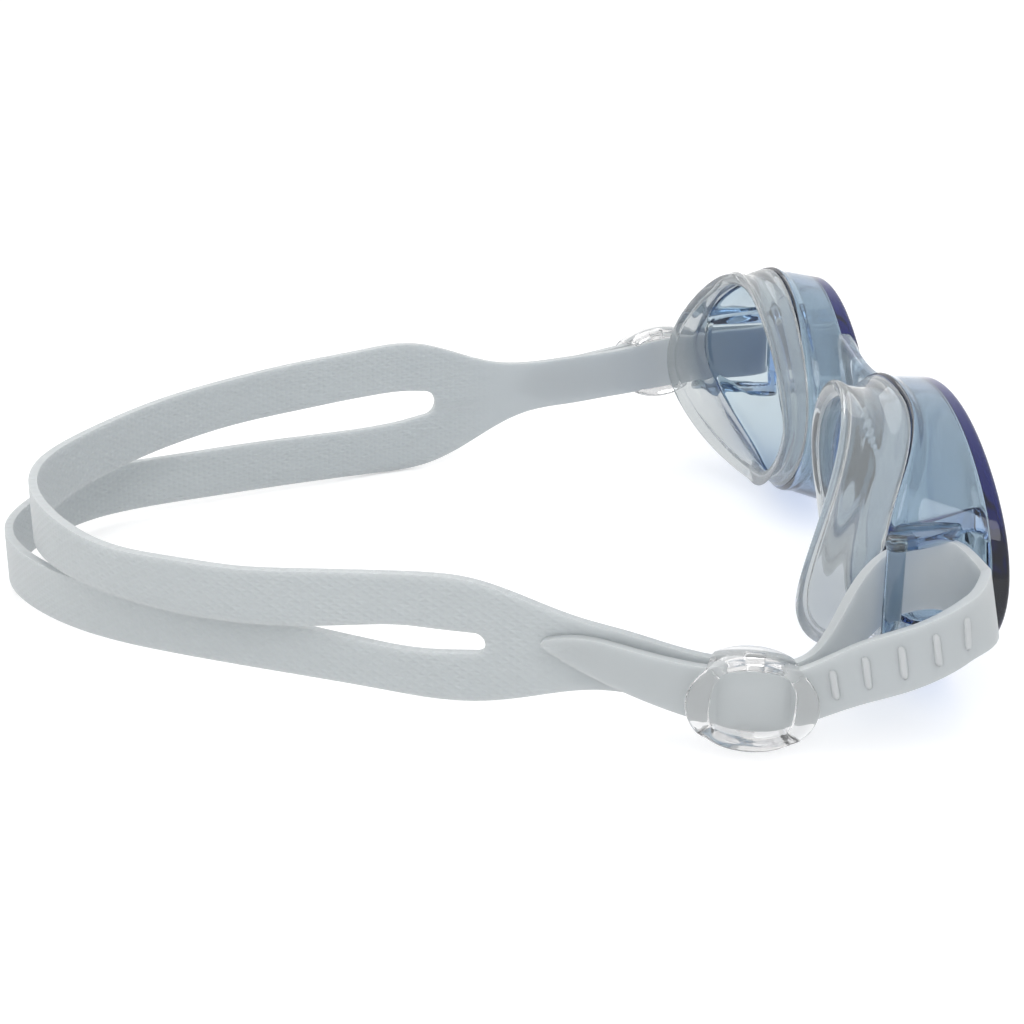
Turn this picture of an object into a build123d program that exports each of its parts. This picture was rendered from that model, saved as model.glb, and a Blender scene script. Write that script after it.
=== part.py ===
"""Swim goggles: two moulded lens cups with strap lugs, two soft face seals, a clip-in nose
bridge, a split one-piece head strap and two sliding strap buckles.

Millimetres. +Z is up, the lenses face -Y and the wearer's left is +X. The origin is the middle
of the pair: on the midline, on the lens front plane, at the height of the lens centres.
"""
from build123d import *
from math import copysign, cos, sin, tau
import os

# ---- lens cups -------------------------------------------------------------------------------
nose_edge = 2.3          # midline to the nose end of the lens front
lens_width = 64.6        # lens front, nose end to temple end
lens_height = 41.3       # lens front, bottom to top
lens_plate = 2.2         # thickness of the optical front
lens_wall = 1.7          # thickness of the side wall
nose_slope = 0.67        # how fast the nose side runs outward, per mm of depth
temple_slope = 0.155     # how fast the temple side draws in, per mm of depth
crown_slope = 0.16       # how fast the top rises, per mm of depth
crown_lead = 1.5         # how far ahead of the seam's temple end the top starts to fall again
crown_fall = 0.8         # how fast it falls there, per mm of depth
base_slope = 0.25        # how fast the bottom rises, per mm of depth
fullness = 1.8           # exponent of the outline, where 2 is an ellipse
seam_nose_depth = 9.5    # depth of the side wall from the nose to past the middle
seam_temple_depth = 17.5  # depth of the side wall at the temple end
seam_wrap_width = 24.0   # width over which the seam sweeps back at the temple

# ---- strap lugs ------------------------------------------------------------------------------
strap_thickness = 1.4
strap_width = 9.8        # single strap
lug_window_height = 15.6  # clear height of the window that the strap threads through
lug_window_middle = 0.8  # height of the window's middle above the lens centre
lug_window_front = 3.2   # depth of the window's front edge
lug_post_depth = 17.0    # depth of the post that the strap goes round
lug_post_size = 2.4
lug_arm = 1.8            # thickness of the arms above and below the window
strap_gap = 0.55         # clearance between the strap and the post or the cup
post_reach = 0.9         # how far the post's middle stands outside the temple end of the lens

# ---- face seals ------------------------------------------------------------------------------
seal_wall = 1.6
seal_nose_depth = 13.6   # depth of the sealing edge from the nose to the middle
seal_temple_depth = 26.6  # depth of the sealing edge at the temple end
seal_taper = 0.37        # how fast the seal draws in at the temple, per mm behind the seam
nose_lean = 0.12         # how much further back the edge is per mm of height, at the nose
temple_lean = -0.16      # the same at the temple

# ---- nose bridge -----------------------------------------------------------------------------
bridge_top = 14.3        # height of its top over the nose
bridge_bottom = 4.0      # height of its flanks' lower ends
bridge_shoulder = 1.2    # how much higher the top is at the flanks
bridge_span = 15.3       # midline to beyond each flank, before the lens walls trim it
bridge_arch = 3.5        # rise of the arch over the nose
bridge_front = 0.6       # depth of the bridge's front face behind the lens front
bridge_thickness = 3.4
bridge_clearance = 0.05  # between the bridge's flanks and the lens walls
peg_radius = 1.2
peg_clearance = 0.05
peg_height = 9.6         # height of the pegs above the lens centre
socket_wall = 1.2
socket_depth = 3.2

# ---- head strap: how it lies -----------------------------------------------------------------
join_depth = 78.0        # where the two strands part from the single wide end
join_draw = 9.0          # how far inside the posts' middle they part
run_end = 44.0           # depth at which the straight stretch through the buckles ends
layer_gap = 1.3          # space between the strap and its folded-back tail in a buckle

# ---- buckles ---------------------------------------------------------------------------------
buckle_length = 18.3
buckle_height = 14.1
buckle_window_length = 11.6
buckle_clearance = 0.3   # between the strap's outer face and the side bars
buckle_margin = 0.55     # between each edge of the strap and the rails
buckle_cover = 1.5       # thickness of the side bars over the strap
buckle_back = 1.3        # how far the rails reach behind the strap's middle
buckle_bar_length = 2.6

# ---- values that follow from them --------------------------------------------------------------
lens_middle = nose_edge + lens_width / 2
crown_depth = seam_temple_depth - crown_lead
temple_end = nose_edge + lens_width
half_height = lens_height / 2
post_side = temple_end + post_reach
post_room = lug_post_size / 2 + strap_gap + strap_thickness / 2
pocket_side = post_side - post_room - strap_thickness / 2 - strap_gap - 1.1
window_top = lug_window_middle + lug_window_height / 2
window_bottom = lug_window_middle - lug_window_height / 2
wall_reach = seam_temple_depth + 4
seal_reach = seal_temple_depth + 7
seal_root = seam_nose_depth - 3.5
far_back = 60.0          # behind both cups
join_side = post_side - join_draw
bar_thickness = layer_gap - 2 * 0.2
layer_pitch = strap_thickness + layer_gap
PIECES = "parts"


def seam_depth(across, height=0.0):
    """Depth of the lens wall's rear edge: level, then a quadratic sweep back at the temple."""
    start = temple_end - seam_wrap_width
    share = max(0.0, (across - start) / (temple_end - temple_slope * seam_temple_depth - start))
    return seam_nose_depth + (seam_temple_depth - seam_nose_depth) * share ** 2


def seal_depth(across, height=0.0):
    """Depth of the sealing edge: the same kind of sweep, with a lean that turns over."""
    start = lens_middle - 6
    share = max(0.0, (across - start) / (temple_end - 6 - start)) ** 1.6
    lean = nose_lean + (temple_lean - nose_lean) * share
    return seal_nose_depth + (seal_temple_depth - seal_nose_depth) * share + lean * height


def eye_section(depth, inset=0.0):
    """Oval cross-section of a cup at a depth, drawn in by the thickness of its wall."""
    nose = nose_edge + nose_slope * depth + inset
    behind = max(0.0, depth - seam_temple_depth)
    temple = temple_end - temple_slope * (depth - behind) - seal_taper * behind - inset
    past_crown = max(0.0, depth - crown_depth)
    top = half_height + crown_slope * depth - (crown_slope + crown_fall) * past_crown - inset
    bottom = -half_height + base_slope * depth + inset
    middle, half_width = (nose + temple) / 2, (temple - nose) / 2
    centre, half_tall = (top + bottom) / 2, (top - bottom) / 2
    outline = []
    for step in range(16):
        turn = tau * step / 16
        share_across = copysign(abs(cos(turn)) ** (2 / fullness), cos(turn))
        share_up = copysign(abs(sin(turn)) ** (2 / fullness), sin(turn))
        outline.append((middle + half_width * share_across, centre + half_tall * share_up))
    with BuildSketch(Plane.XZ.offset(-depth)) as section:
        with BuildLine():
            Spline(*outline, periodic=True)
        make_face()
    return section.sketch


def behind_curve(depth_at):
    """A block that fills everything behind a surface of depth against side and height."""
    far = 80.0
    stations = [-4, 20, 34, 44, 52, 58, 62, 66, 74]
    with BuildPart() as block:
        for height in (-30, 30):
            with BuildSketch(Plane.XY.offset(height)):
                with BuildLine():
                    edge = Spline(*[(across, depth_at(across, height)) for across in stations])
                    Polyline(edge @ 1, (stations[-1], far), (stations[0], far), edge @ 0)
                make_face()
        loft(ruled=True)
    return block.part


def cup_solid(front, back, inset=0.0):
    """The solid cup from one depth to another, through the depths where its slopes change."""
    bends = sorted(depth for depth in {crown_depth, seam_temple_depth} if front < depth < back)
    with BuildPart() as cup:
        loft(sections=[eye_section(depth, inset) for depth in (front, *bends, back)], ruled=True)
    return cup.part


def side_block(side, front, back, low, high):
    """A block from a distance off the midline outward, for the recess that the strap runs in."""
    outside = 90.0
    with BuildPart() as block:
        with Locations(((side + outside) / 2, (front + back) / 2, (low + high) / 2)):
            Box(outside - side, back - front, high - low)
    return block.part


def cup_hollow(front, reach, wall, recess):
    """The inside of a cup, kept one wall thickness clear of the strap recess."""
    with BuildPart() as hollow:
        add(cup_solid(front, reach, wall))
        add(recess, mode=Mode.SUBTRACT)
    return hollow.part


os.makedirs(PIECES, exist_ok=True)
behind_seam = behind_curve(seam_depth)
behind_seal = behind_curve(seal_depth)
recess = side_block(pocket_side, lug_window_front, far_back, window_bottom, window_top)
recess_wall = side_block(
    pocket_side - lens_wall, 0, far_back, window_bottom - lens_wall, window_top + lens_wall
)

# ---- lenses: front plate, side wall, strap lug and bridge socket -------------------------------
socket_side = nose_edge + nose_slope * (bridge_front + bridge_thickness / 2) + 2.6
peg_depth = bridge_front + bridge_thickness / 2
lens_outside = cup_solid(0, wall_reach)
lens_hollow = cup_hollow(lens_plate, wall_reach + 1, lens_wall, recess_wall)

with BuildPart() as lens_left:
    add(lens_outside)
    add(recess, mode=Mode.SUBTRACT)
    add(lens_hollow, mode=Mode.SUBTRACT)
    add(behind_seam, mode=Mode.SUBTRACT)
    # arms above and below the window, and the post that joins them
    post_front = lug_post_depth - lug_post_size / 2
    post_back = lug_post_depth + lug_post_size / 2
    wall_side = pocket_side + 0.6
    for level in (window_top, window_bottom - lug_arm):
        with BuildSketch(Plane.XY.offset(level)):
            with BuildLine():
                Polyline(
                    (wall_side - 1.4, lug_window_front + 5),
                    (temple_end - 1.6, lug_window_front + 4),
                    (post_side + lug_post_size / 2, post_front),
                    (post_side + lug_post_size / 2, post_back),
                    (post_side - lug_post_size / 2, post_back),
                    (wall_side - 1.0, post_front - 1.0),
                    close=True,
                )
            make_face()
        extrude(amount=lug_arm)
    with Locations((post_side, lug_post_depth, lug_window_middle)):
        Box(lug_post_size, lug_post_size, lug_window_height + 2 * lug_arm)
    # boss on the nose side with a blind socket for the bridge's peg
    with BuildPart(mode=Mode.PRIVATE) as boss:
        with BuildSketch(Plane.YZ):
            with Locations((peg_depth, peg_height)):
                Circle(peg_radius + peg_clearance + socket_wall)
        extrude(amount=socket_side + socket_depth + socket_wall)
        add(lens_outside, mode=Mode.INTERSECT)
    add(boss.part)
    with BuildSketch(Plane.YZ.offset(-1)):
        with Locations((peg_depth, peg_height)):
            Circle(peg_radius + peg_clearance)
    extrude(amount=socket_side + socket_depth + 1.3, mode=Mode.SUBTRACT)

with BuildPart() as lens_right:
    add(lens_left.part)
    mirror(about=Plane.YZ, mode=Mode.REPLACE)

# ---- face seals: a soft funnel from the lens wall to the sealing edge --------------------------
seal_recess = side_block(pocket_side, 0, far_back, window_bottom, window_top)
seal_recess_wall = side_block(
    pocket_side - seal_wall, 0, far_back, window_bottom - seal_wall, window_top + seal_wall
)
seal_hollow = cup_hollow(seal_root - 1, seal_reach + 1, seal_wall, seal_recess_wall)

with BuildPart() as seal_left:
    add(cup_solid(seal_root, seal_reach))
    add(seal_recess, mode=Mode.SUBTRACT)
    add(seal_hollow, mode=Mode.SUBTRACT)
    add(behind_seam, mode=Mode.INTERSECT)
    add(behind_seal, mode=Mode.SUBTRACT)

with BuildPart() as seal_right:
    add(seal_left.part)
    mirror(about=Plane.YZ, mode=Mode.REPLACE)

# ---- nose bridge: an arch between the lens walls, with a peg for each socket --------------------
with BuildPart() as nose_bridge:
    with BuildSketch(Plane.XZ.offset(-bridge_front)):
        with BuildLine():
            span, shoulder = bridge_span, bridge_top + bridge_shoulder
            ThreePointArc((-span, shoulder), (0, bridge_top), (span, shoulder))
            Line((span, shoulder), (span, bridge_bottom))
            ThreePointArc(
                (span, bridge_bottom), (0, bridge_bottom + bridge_arch), (-span, bridge_bottom)
            )
            Line((-span, bridge_bottom), (-span, shoulder))
        make_face()
    extrude(amount=-bridge_thickness)
    with BuildPart(mode=Mode.PRIVATE) as lens_room:
        add(cup_solid(0, bridge_front + bridge_thickness + 2, -bridge_clearance))
        mirror(about=Plane.YZ)
    add(lens_room.part, mode=Mode.SUBTRACT)
    with BuildSketch(Plane.YZ.offset(-socket_side - socket_depth)):
        with Locations((peg_depth, peg_height)):
            Circle(peg_radius)
    extrude(amount=2 * (socket_side + socket_depth))

# ---- head strap ----------------------------------------------------------------------------------
# Each run is a list of (distance outside the posts' middle, depth) points, and each edge a list
# of (depth, height) points.
join_direction = (-0.30, 1.0)
run_slope = -0.12        # side gained per mm of depth where the doubled strap is straight

# Where each buckle sits on the strap: the inner layer there, depth, height, and rise per mm.
buckle_seat = {"right": (0.9, 36.6, -12.3, 0.08), "left": (-1.2, 25.7, -2.9, -0.12)}


def straight_run(side, depths, offset=0.0):
    """Plan points of the straight stretch of one side's strap, through its buckle."""
    out, middle = buckle_seat[side][:2]
    return [(out + offset + run_slope * (depth - middle), depth) for depth in depths]


def on_way(share):
    """A depth on the way from the end of the straight stretch to where the strands part."""
    return run_end + share * (join_depth - run_end)


def round_back(points):
    """Plan points behind the join, given from there."""
    return [(first, join_depth + second) for first, second in points]


def edge(front, way, back):
    """An edge: points ahead of the straight stretch's end, on the way to the join, and behind it."""
    return [
        *front, *[(on_way(share), height) for share, height in way],
        *[(join_depth + behind, height) for behind, height in back],
    ]


inner_run = {
    "right": [(2.0, 4.2), (-1.0, 6.6), (-post_room, 12), (-post_room, 17), (-1.3, 21.2), (0.9, 25.6),
              *straight_run("right", (30, 37, run_end, on_way(0.2))), (-3.9, on_way(0.59)),
              (-join_draw, join_depth)],
    "left": [(0.3, 3.7), (-1.9, 6.4), (-post_room, 11), (-post_room, 17), (-1.9, 21.5),
             *straight_run("left", (26, 32, 38, run_end)), (-5.5, on_way(0.53)),
             (-join_draw, join_depth)],
}
outer_run = {
    "right": [(2.0, 4.2), (6.0, 7.2), (8.2, 12), (7.8, 18.5), (5.6, 25),
              *straight_run("right", (30, 37, run_end, on_way(0.2)), layer_pitch),
              (0.0, on_way(0.4)), (-2.5, on_way(0.62))],
    "left": [(0.3, 3.7), (2.1, 6.2), (post_room + 0.1, 11),
             *straight_run("left", (18, 22, 26, 32, 38, run_end), layer_pitch),
             (-1.8, on_way(0.18)), (-2.7, on_way(0.32))],
}
upper_back = round_back([
    (-52.4, 20), (-43.2, 38.5), (-28.3, 53.4), (-10, 62.2), (3.7, 62.8), (22.9, 54.6), (40.3, 39),
    (52.8, 20),
])
lower_back = round_back([
    (-50.2, 20), (-38.8, 38.5), (-28.4, 51.6), (-12, 63.6), (5, 69.2), (20, 65.6), (31.5, 58),
    (41.5, 39), (50.5, 20),
])

# heights of the strap's edges; the middle line divides the upper from the lower strand
top_edge = {
    "right": edge(
        [(3, 5.0), (7, 7.2), (12, 7.8), (17, 6.6), (22.5, 1.7), (27.5, -5.8), (31.5, -7.7),
         (36.5, -7.7), (run_end, -6.4)],
        [(0.26, -3.6), (0.47, -1.8), (0.68, 0.5), (0.88, 2.4)],
        [(2, 2.8), (8, 2.6), (20, 1.8), (29, 1.1), (38, 0.8), (46, 0.0), (52, -0.3), (58, 0.2),
         (63, 0.8), (72, 0.9)],
    ),
    "left": edge(
        [(3, 4.4), (10, 4.2), (17, 3.6), (26.5, 1.9), (36.5, 0.2), (run_end, -0.5)],
        [(0.29, -1.2), (0.47, -0.7), (0.68, 1.5), (0.88, 3.9)],
        [(2, 4.6), (8, 4.1), (20, 3.0), (34, 2.2), (47, 1.7), (63, 0.8), (72, 0.9)],
    ),
}
bottom_edge = {
    "right": edge(
        [(3, -3.8), (7, -2.6), (12, -2.0), (17, -3.6), (22.5, -8.6), (27.5, -14.4), (31.5, -15.8),
         (36.5, -16.1), (run_end, -15.0)],
        [(0.26, -12.3), (0.47, -12.3), (0.68, -14.1), (0.88, -15.6)],
        [(2, -15.7), (8, -15.3), (20, -15.1), (34, -15.7), (47, -16.4), (63, -17.9), (70, -19.1),
         (72, -19.2)],
    ),
    "left": edge(
        [(3, -5.4), (10, -5.6), (17, -6.2), (26.5, -7.9), (36.5, -9.1), (run_end, -10.0)],
        [(0.29, -11.4), (0.47, -13.9), (0.68, -17.7), (0.88, -20.4)],
        [(2, -21.1), (8, -21.0), (20, -20.4), (34, -19.8), (47, -19.7), (63, -19.4), (70, -19.1),
         (72, -19.2)],
    ),
}
slot_top = {
    "right": edge([], [], [(-4.35, -5.2), (0.5, -5.1), (5.5, -4.9), (10.5, -5.3), (20, -6.5),
                           (47, -7.6), (63, -8.7), (72, -9.4)]),
    "left": edge([], [], [(-3.3, -5.3), (0.5, -4.9), (7, -5.1), (14, -5.7), (20, -6.2), (34, -6.6),
                          (47, -7.3), (63, -8.7), (72, -9.4)]),
}
slot_bottom = {
    "right": edge([], [], [(-4.35, -8.3), (0.5, -8.7), (5.5, -8.7), (10.5, -8.3), (20, -7.6),
                           (47, -7.9), (63, -9.6), (70, -10.5), (72, -10.6)]),
    "left": edge([], [], [(-3.3, -10.5), (0.5, -11.2), (7, -11.7), (14, -11.6), (20, -11.3),
                          (34, -10.7), (47, -10.7), (70, -10.5), (72, -10.6)]),
}
outer_top = {
    "right": edge(
        [(3, 5.0), (7, 3.9), (11, 2.3), (16, 0.1), (22.5, -2.8), (27.5, -5.9), (31.5, -7.7),
         (36.5, -7.8), (run_end, -7.0)],
        [(0.18, -5.6), (0.35, -4.3), (0.53, -3.9)], [],
    ),
    "left": edge(
        [(3, 4.4), (10, 4.2), (17, 3.6), (26.5, 1.9), (36.5, 0.0), (run_end, -1.4)],
        [(0.24, -2.8)], [],
    ),
}
outer_bottom = {
    "right": edge(
        [(3, -3.8), (7, -5.5), (11, -7.0), (16, -9.1), (22.5, -11.9), (27.5, -14.4), (31.5, -15.8),
         (36.5, -16.1), (run_end, -14.9)],
        [(0.18, -12.7), (0.35, -10.3), (0.53, -7.4)], [],
    ),
    "left": edge(
        [(3, -5.4), (10, -5.6), (17, -6.2), (26.5, -7.9), (36.5, -8.7), (run_end, -9.0)],
        [(0.24, -9.6)], [],
    ),
}
side_sign = {"left": 1, "right": -1}


def placed(points, side):
    """Plan points of one side, from distances outside the posts' middle."""
    return [(side_sign[side] * (post_side + out), depth) for out, depth in points]


def outline_block(upper, lower, side, tip=None):
    """A block with the strap's side outline, reaching from the midline outward."""
    with BuildPart() as block:
        with BuildSketch(Plane.YZ):
            with BuildLine():
                over = Spline(*upper)
                under = Spline(*lower)
                Line(over @ 0, under @ 0)
                if tip:
                    ThreePointArc(over @ 1, tip, under @ 1)
                else:
                    Line(over @ 1, under @ 1)
            make_face()
        extrude(amount=side_sign[side] * 95)
    return block.part


def ribbon_wall(path):
    """A tall wall of the strap's thickness along a plan path."""
    samples = max(8, round(path.length / 4))
    stations = [step / samples for step in range(samples + 1)]
    half = strap_thickness / 2
    with BuildPart() as wall:
        with BuildSketch(Plane.XY.offset(-30)):
            with BuildLine():
                left, right = (
                    Spline(*[
                        path @ at + (path % at).cross(Vector(0, 0, turn)) * half for at in stations
                    ])
                    for turn in (-1, 1)
                )
                Line(left @ 0, right @ 0)
                Line(left @ 1, right @ 1)
            make_face()
        extrude(amount=60)
    return wall.part


def run_path(points, start, end):
    """A smooth plan path that leaves and arrives in given directions."""
    with BuildLine() as plan:
        Spline(*points, tangents=[start, end], tangent_scalars=[1, 1])
    return plan.edges()[0]


def behind_split(points):
    """The points of an edge from beside the split's rounded end backward."""
    return [(depth, height) for depth, height in points if depth > join_depth - 5]


def strand(back_points, upper, lower):
    """One strand round the back of the head, cut to the heights of its edges on each side."""
    inward, outward = -join_direction[0], join_direction[0]
    path = run_path(
        [(-join_side, join_depth), *back_points, (join_side, join_depth)],
        (inward, join_direction[1]),
        (-outward, -join_direction[1]),
    )
    with BuildPart() as wall:
        add(ribbon_wall(path))
        with BuildPart(mode=Mode.PRIVATE) as heights:
            for side in ("right", "left"):
                over, under = behind_split(upper[side]), behind_split(lower[side])
                add(outline_block(over, under, side))
        add(heights.part, mode=Mode.INTERSECT)
    return wall.part


def side_run(side):
    """The single wide strap of one side, from the front of its loop to where the strands part."""
    sign = side_sign[side]
    path = run_path(
        placed(inner_run[side], side), (-sign, 0), (sign * join_direction[0], join_direction[1])
    )
    (slot_depth, upper), (_, lower) = slot_top[side][0], slot_bottom[side][0]
    with BuildPart() as run:
        add(ribbon_wall(path))
        add(outline_block(top_edge[side], bottom_edge[side], side), mode=Mode.INTERSECT)
        add(outline_block(slot_top[side], slot_bottom[side], side), mode=Mode.SUBTRACT)
        with BuildSketch(Plane.YZ):
            with Locations((slot_depth, (upper + lower) / 2)):
                Circle((upper - lower) / 2)
        extrude(amount=sign * 95, mode=Mode.SUBTRACT)
    return run.part


def folded_tail(side):
    """The layer that comes back from the lug outside the strap, to its rounded tip."""
    over, under = outer_top[side], outer_bottom[side]
    tip_depth = outer_run[side][-1][1] - 0.2
    tip = (tip_depth, (over[-1][1] + under[-1][1]) / 2)
    before, last = placed(outer_run[side][-2:], side)
    ending = (last[0] - before[0], last[1] - before[1])
    with BuildPart() as tail:
        add(ribbon_wall(run_path(placed(outer_run[side], side), (side_sign[side], 0), ending)))
        add(outline_block(over, under, side, tip), mode=Mode.INTERSECT)
    return tail.part


with BuildPart() as strap:
    for side in ("right", "left"):
        add(side_run(side))
        add(folded_tail(side))
    add(strand(upper_back, top_edge, slot_top))
    add(strand(lower_back, slot_bottom, bottom_edge))

# ---- buckles -------------------------------------------------------------------------------------
tunnel_height = strap_width + 2 * buckle_margin
cover_level = layer_pitch + strap_thickness / 2 + buckle_clearance


def buckle(side):
    """An oval ring with a tunnel for both layers, a window and a bar between the layers."""
    out, depth, height, rise = buckle_seat[side]
    along = Vector(side_sign[side] * run_slope, 1, rise).normalized()
    outward = along.cross(Vector(0, 0, 1)) if side == "left" else Vector(0, 0, 1).cross(along)
    origin = (side_sign[side] * (post_side + out), depth, height)
    seat = Plane(origin=origin, x_dir=along, z_dir=outward)
    with BuildPart() as ring:
        with BuildSketch(seat.offset(-buckle_back)):
            Ellipse(buckle_length / 2, buckle_height / 2)
        extrude(amount=buckle_back + cover_level + buckle_cover)
        rim = ring.faces().sort_by(Axis(seat.origin, seat.z_dir))[-1].edges()
        fillet(rim, radius=buckle_cover * 0.8)
        with BuildSketch(seat.offset(-buckle_back - 1)):
            Rectangle(buckle_length + 4, tunnel_height)
        extrude(amount=buckle_back + 1 + cover_level, mode=Mode.SUBTRACT)
        with BuildSketch(seat):
            RectangleRounded(buckle_window_length, strap_width + 0.6, 3.2)
        extrude(amount=cover_level + buckle_cover + 1, mode=Mode.SUBTRACT)
        with BuildSketch(seat.offset((layer_pitch - bar_thickness) / 2)):
            Rectangle(buckle_bar_length, tunnel_height + 1)
        extrude(amount=bar_thickness)
    return ring.part


with BuildPart() as buckle_left:
    add(buckle("left"))
with BuildPart() as buckle_right:
    add(buckle("right"))

for piece, label in (
    (lens_left, "lens_left"), (lens_right, "lens_right"),
    (seal_left, "seal_left"), (seal_right, "seal_right"),
    (nose_bridge, "nose_bridge"), (strap, "strap"),
    (buckle_left, "buckle_left"), (buckle_right, "buckle_right"),
):
    piece.part.label = label
    export_step(piece.part, f"{PIECES}/{label}.step")
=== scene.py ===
"""Looks of a pair of swim goggles: blue-tinted lens cups, clear soft seals, a nose bridge, a
frosted split head strap and clear strap buckles, each built round its own part of the frame.

Shapes are worked out in millimetres in the row frame (+Z up, lenses towards -Y, wearer's left +X)
and scaled to metres as each mesh is made.
"""
from math import pi, radians, tau

import bmesh
import bpy
import numpy as np
from mathutils import Matrix, Vector


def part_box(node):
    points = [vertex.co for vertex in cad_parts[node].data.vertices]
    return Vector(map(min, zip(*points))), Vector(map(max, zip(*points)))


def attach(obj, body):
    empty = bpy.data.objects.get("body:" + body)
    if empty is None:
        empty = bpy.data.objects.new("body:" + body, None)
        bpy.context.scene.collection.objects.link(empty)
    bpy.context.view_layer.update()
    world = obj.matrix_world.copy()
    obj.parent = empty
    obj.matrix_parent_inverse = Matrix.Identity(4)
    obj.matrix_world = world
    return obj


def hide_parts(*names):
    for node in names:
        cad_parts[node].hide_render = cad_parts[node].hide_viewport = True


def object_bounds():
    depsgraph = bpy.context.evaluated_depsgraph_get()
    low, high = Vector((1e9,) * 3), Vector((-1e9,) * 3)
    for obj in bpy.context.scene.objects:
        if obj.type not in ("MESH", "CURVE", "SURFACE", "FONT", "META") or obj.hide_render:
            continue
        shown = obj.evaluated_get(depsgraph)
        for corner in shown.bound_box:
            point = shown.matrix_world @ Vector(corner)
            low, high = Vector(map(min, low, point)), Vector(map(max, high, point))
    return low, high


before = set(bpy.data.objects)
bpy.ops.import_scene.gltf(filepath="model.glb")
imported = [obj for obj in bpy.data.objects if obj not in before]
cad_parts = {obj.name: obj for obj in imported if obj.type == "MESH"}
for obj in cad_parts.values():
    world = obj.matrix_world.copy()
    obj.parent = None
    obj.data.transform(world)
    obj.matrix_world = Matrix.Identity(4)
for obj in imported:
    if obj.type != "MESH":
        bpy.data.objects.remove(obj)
cad_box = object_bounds()
MM = 0.001

# ---- sizes of the lens cups, mm ------------------------------------------------------------------
NOSE_EDGE, TEMPLE_EDGE = 2.3, 66.9          # the two ends of the lens front, from the midline
HALF_HEIGHT = -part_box("lens_left")[0][2] / MM
NOSE_SLOPE, TEMPLE_SLOPE = 0.67, 0.155      # how far the ends move out and in, per mm of depth
CROWN_SLOPE, CROWN_DEPTH, CROWN_FALL = 0.16, 16.0, 0.8      # the top rises as far back as its crown
BASE_SLOPE = 0.25                           # how far the bottom rises, per mm of depth
DIAGONAL_PULL = 0.038                       # how far the diagonals lie inside a true ellipse
PLATE, WALL = 2.0, 1.7                      # thickness of the front plate and of the side wall
DOME, DOME_BACK = 1.0, 0.6                  # rise of the plate's front and of its back
RIM_ROUND = 0.9                             # round the front's edge
PLATE_ROUND, PLATE_CORNER = 0.5, 0.8        # depth and width of the fillet inside, plate to wall
BACK_ROUND, BACK_FLARE = 0.6, 0.35          # the wall's back edge is rounded, and flares outwards
BACK_RINGS, BACK_TUCK = 8, 0.8              # its rings, and how much further in the pocket takes them
SEAM_NOSE, SEAM_TEMPLE = 9.5, 17.5          # depth of the seam at the nose and at the temple
SEAM_START, SEAM_END = 42.9, 64.2           # sides between which the seam bends back
SEAL_TAPER = 0.37                           # temple slope of the seal, behind the seam
SEAL_START, SEAL_END = 28.6, 60.9           # sides between which the seal's edge bends back
SEAL_LEAST = 3.6                            # least depth of the seal
WINDOW_TOP, WINDOW_BOTTOM = 8.6, -7.0       # the strap's pocket at the temple
POCKET_FRONT, POCKET_BACK = 59.0, 63.0
POCKET_START, POCKET_LENGTH = 3.0, 14.0
POCKET_TOP_FALL = 0.12                      # how far the pocket's top falls, per mm of depth
POST_SIDE, POST_DEPTH, POST_SIZE = 67.8, 17.0, 2.4
LENS_AROUND, SEAL_AROUND = 560, 420         # vertices round a ring


# ---- small tools ---------------------------------------------------------------------------------
def smooth(value):
    """Smoothstep: 0 below 0, 1 above 1, and 3v² - 2v³ between."""
    v = np.clip(value, 0.0, 1.0)
    return v * v * (3 - 2 * v)


def cubic(knots, values, at, start=None, end=None):
    """Cubic spline through values at knots, read at any places.

    The slopes m solve m[i-1]/h[i-1] + 2m[i](1/h[i-1] + 1/h[i]) + m[i+1]/h[i]
    = 3(dv[i-1]/h[i-1]² + dv[i]/h[i]²), with free ends or the end slopes given.
    """
    knots, values = np.asarray(knots, float), np.asarray(values, float)
    flat = values.ndim == 1
    if flat:
        values = values[:, None]
    gap, rise = np.diff(knots), np.diff(values, axis=0)
    count = len(knots)
    system, right = np.zeros((count, count)), np.zeros_like(values)
    inner = np.arange(1, count - 1)
    system[inner, inner - 1] = 1 / gap[:-1]
    system[inner, inner] = 2 / gap[:-1] + 2 / gap[1:]
    system[inner, inner + 1] = 1 / gap[1:]
    right[inner] = 3 * (rise[:-1] / gap[:-1, None] ** 2 + rise[1:] / gap[1:, None] ** 2)
    for row, neighbour, slope, k in ((0, 1, start, 0), (count - 1, count - 2, end, -1)):
        if slope is None:
            system[row, row], system[row, neighbour] = 2, 1
            right[row] = 3 * rise[k] / gap[k]
        else:
            system[row, row] = 1
            right[row] = slope
    slopes = np.linalg.solve(system, right)
    at = np.clip(np.asarray(at, float), knots[0], knots[-1])
    cell = np.clip(np.searchsorted(knots, at, side="right") - 1, 0, count - 2)
    span = gap[cell][:, None]
    t = ((at - knots[cell]) / gap[cell])[:, None]
    result = (
        values[cell] * (1 + 2 * t) * (1 - t) ** 2 + slopes[cell] * span * t * (1 - t) ** 2
        + values[cell + 1] * t * t * (3 - 2 * t) + slopes[cell + 1] * span * t * t * (t - 1)
    )
    return result[:, 0] if flat else result


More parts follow.
